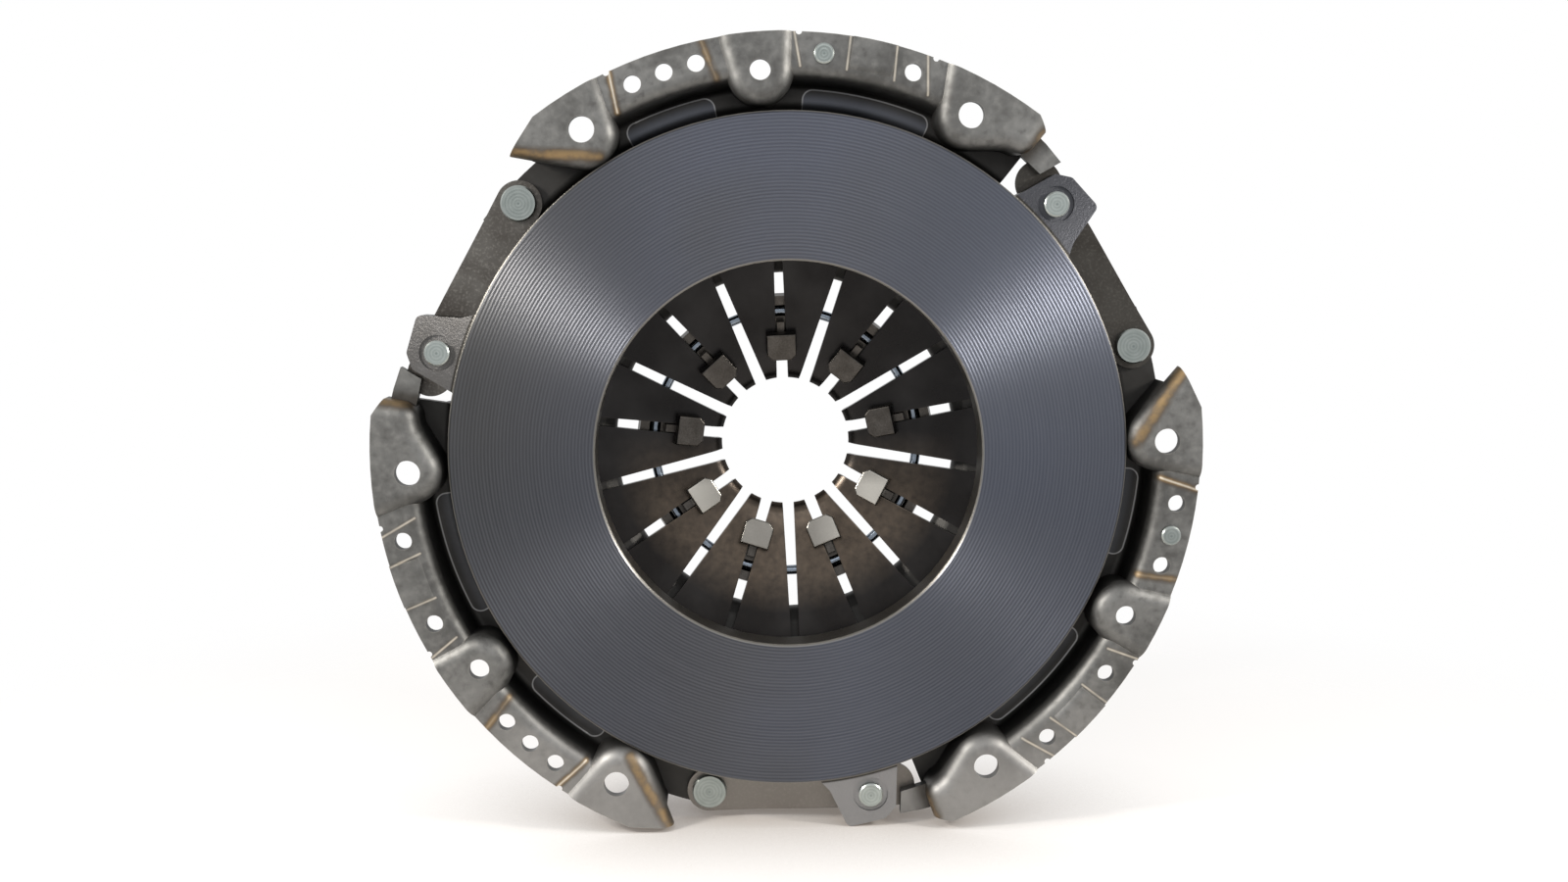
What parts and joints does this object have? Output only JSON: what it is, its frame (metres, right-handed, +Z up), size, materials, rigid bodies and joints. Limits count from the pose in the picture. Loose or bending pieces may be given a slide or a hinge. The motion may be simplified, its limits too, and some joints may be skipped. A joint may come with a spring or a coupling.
{
  "type": "clutch pressure plate",
  "caption": "Diaphragm clutch cover assembly: a sprung friction ring in a pressed cover, with drive straps and centrifugal weights hooked through the spring's fingers.",
  "frame": {"origin": "centre of the bolt circle, on the plane of the cover's pads that seat on the flywheel", "axes": "+Y along the clutch axis from the flywheel to the gearbox, +Z up as pictured, +X to the viewer's right seen from the flywheel"},
  "size_m": [0.3248, 0.0564, 0.3142],
  "materials": {
    "pressed_steel": "bare pressed, scuffed",
    "cast_iron": "turned friction face",
    "spring_steel": "dark, heat treated",
    "strap_steel": "rolled strip",
    "wire": "drawn wire",
    "rivet_steel": "dark",
    "zinc_plate": "zinc plated",
    "weight_steel": "sintered, brushed"
  },
  "bodies": {
    "cover_body": {"cover": "pressed_steel", "diaphragm_spring": "spring_steel", "fulcrum_ring_front": "wire", "fulcrum_ring_rear": "wire", "fulcrum_rivets": "rivet_steel", "cover_strap_rivets": "zinc_plate", "balance_rivets": "zinc_plate", "drive_strap_1_front_leaf": "strap_steel", "drive_strap_1_middle_leaf": "strap_steel", "drive_strap_1_rear_leaf": "strap_steel", "drive_strap_2_front_leaf": "strap_steel", "drive_strap_2_middle_leaf": "strap_steel", "drive_strap_2_rear_leaf": "strap_steel", "drive_strap_3_front_leaf": "strap_steel", "drive_strap_3_middle_leaf": "strap_steel", "drive_strap_3_rear_leaf": "strap_steel"},
    "plate_body": {"pressure_plate": "cast_iron", "lug_rivets": "zinc_plate"},
    "weight_ring_body": {"weight_ring": "wire"},
    "weight_1_body": {"weight_1": "weight_steel"},
    "weight_2_body": {"weight_2": "weight_steel"},
    "weight_3_body": {"weight_3": "weight_steel"},
    "weight_4_body": {"weight_4": "weight_steel"},
    "weight_5_body": {"weight_5": "weight_steel"},
    "weight_6_body": {"weight_6": "weight_steel"},
    "weight_7_body": {"weight_7": "weight_steel"},
    "weight_8_body": {"weight_8": "weight_steel"},
    "weight_9_body": {"weight_9": "weight_steel"}
  },
  "joints": [
    {"name": "plate_travel", "type": "slide", "parent": "cover_body", "child": "plate_body", "axis": [0, 1, 0], "range_m": [0, 0.005], "stiffness_N_per_m": 20000, "springref_m": -0.002, "deforming": ["diaphragm_spring", "drive_strap_1_front_leaf", "drive_strap_1_middle_leaf", "drive_strap_1_rear_leaf", "drive_strap_2_front_leaf", "drive_strap_2_middle_leaf", "drive_strap_2_rear_leaf", "drive_strap_3_front_leaf", "drive_strap_3_middle_leaf", "drive_strap_3_rear_leaf"]},
    {"name": "weight_ring_travel", "type": "slide", "parent": "cover_body", "child": "weight_ring_body", "axis": [0, -1, 0], "range_m": [0, 0.0105]},
    {"name": "weight_1_tilt", "type": "hinge", "parent": "weight_ring_body", "child": "weight_1_body", "pos_m": [0.05387, 0.0499, 0.01204], "axis": [-0.2181, 0, 0.9759], "range_deg": [0, 13]},
    {"name": "weight_2_tilt", "type": "hinge", "parent": "weight_ring_body", "child": "weight_2_body", "pos_m": [0.03353, 0.0499, 0.04385], "axis": [-0.7944, 0, 0.6074], "range_deg": [0, 13]},
    {"name": "weight_3_tilt", "type": "hinge", "parent": "weight_ring_body", "child": "weight_3_body", "pos_m": [-0.0025, 0.0499, 0.05514], "axis": [-0.999, 0, -0.0454], "range_deg": [0, 13]},
    {"name": "weight_4_tilt", "type": "hinge", "parent": "weight_ring_body", "child": "weight_4_body", "pos_m": [-0.03736, 0.0499, 0.04063], "axis": [-0.7361, 0, -0.6769], "range_deg": [0, 13]},
    {"name": "weight_5_tilt", "type": "hinge", "parent": "weight_ring_body", "child": "weight_5_body", "pos_m": [-0.05474, 0.0499, 0.00711], "axis": [-0.1288, 0, -0.9917], "range_deg": [0, 13]},
    {"name": "weight_6_tilt", "type": "hinge", "parent": "weight_ring_body", "child": "weight_6_body", "pos_m": [-0.0465, 0.0499, -0.02974], "axis": [0.5388, 0, -0.8425], "range_deg": [0, 13]},
    {"name": "weight_7_tilt", "type": "hinge", "parent": "weight_ring_body", "child": "weight_7_body", "pos_m": [-0.01651, 0.0499, -0.05267], "axis": [0.9542, 0, -0.299], "range_deg": [0, 13]},
    {"name": "weight_8_tilt", "type": "hinge", "parent": "weight_ring_body", "child": "weight_8_body", "pos_m": [0.02121, 0.0499, -0.05096], "axis": [0.9232, 0, 0.3843], "range_deg": [0, 13]},
    {"name": "weight_9_tilt", "type": "hinge", "parent": "weight_ring_body", "child": "weight_9_body", "pos_m": [0.04901, 0.0499, -0.0254], "axis": [0.4602, 0, 0.8878], "range_deg": [0, 13]}
  ],
  "couplings": [
    {"joint": "weight_ring_travel", "follows": "plate_travel", "ratio": 2.047},
    {"joint": "weight_1_tilt", "follows": "plate_travel", "rad_per_m": 43.27},
    {"joint": "weight_2_tilt", "follows": "plate_travel", "rad_per_m": 43.27},
    {"joint": "weight_3_tilt", "follows": "plate_travel", "rad_per_m": 43.27},
    {"joint": "weight_4_tilt", "follows": "plate_travel", "rad_per_m": 43.27},
    {"joint": "weight_5_tilt", "follows": "plate_travel", "rad_per_m": 43.27},
    {"joint": "weight_6_tilt", "follows": "plate_travel", "rad_per_m": 43.27},
    {"joint": "weight_7_tilt", "follows": "plate_travel", "rad_per_m": 43.27},
    {"joint": "weight_8_tilt", "follows": "plate_travel", "rad_per_m": 43.27},
    {"joint": "weight_9_tilt", "follows": "plate_travel", "rad_per_m": 43.27}
  ]
}
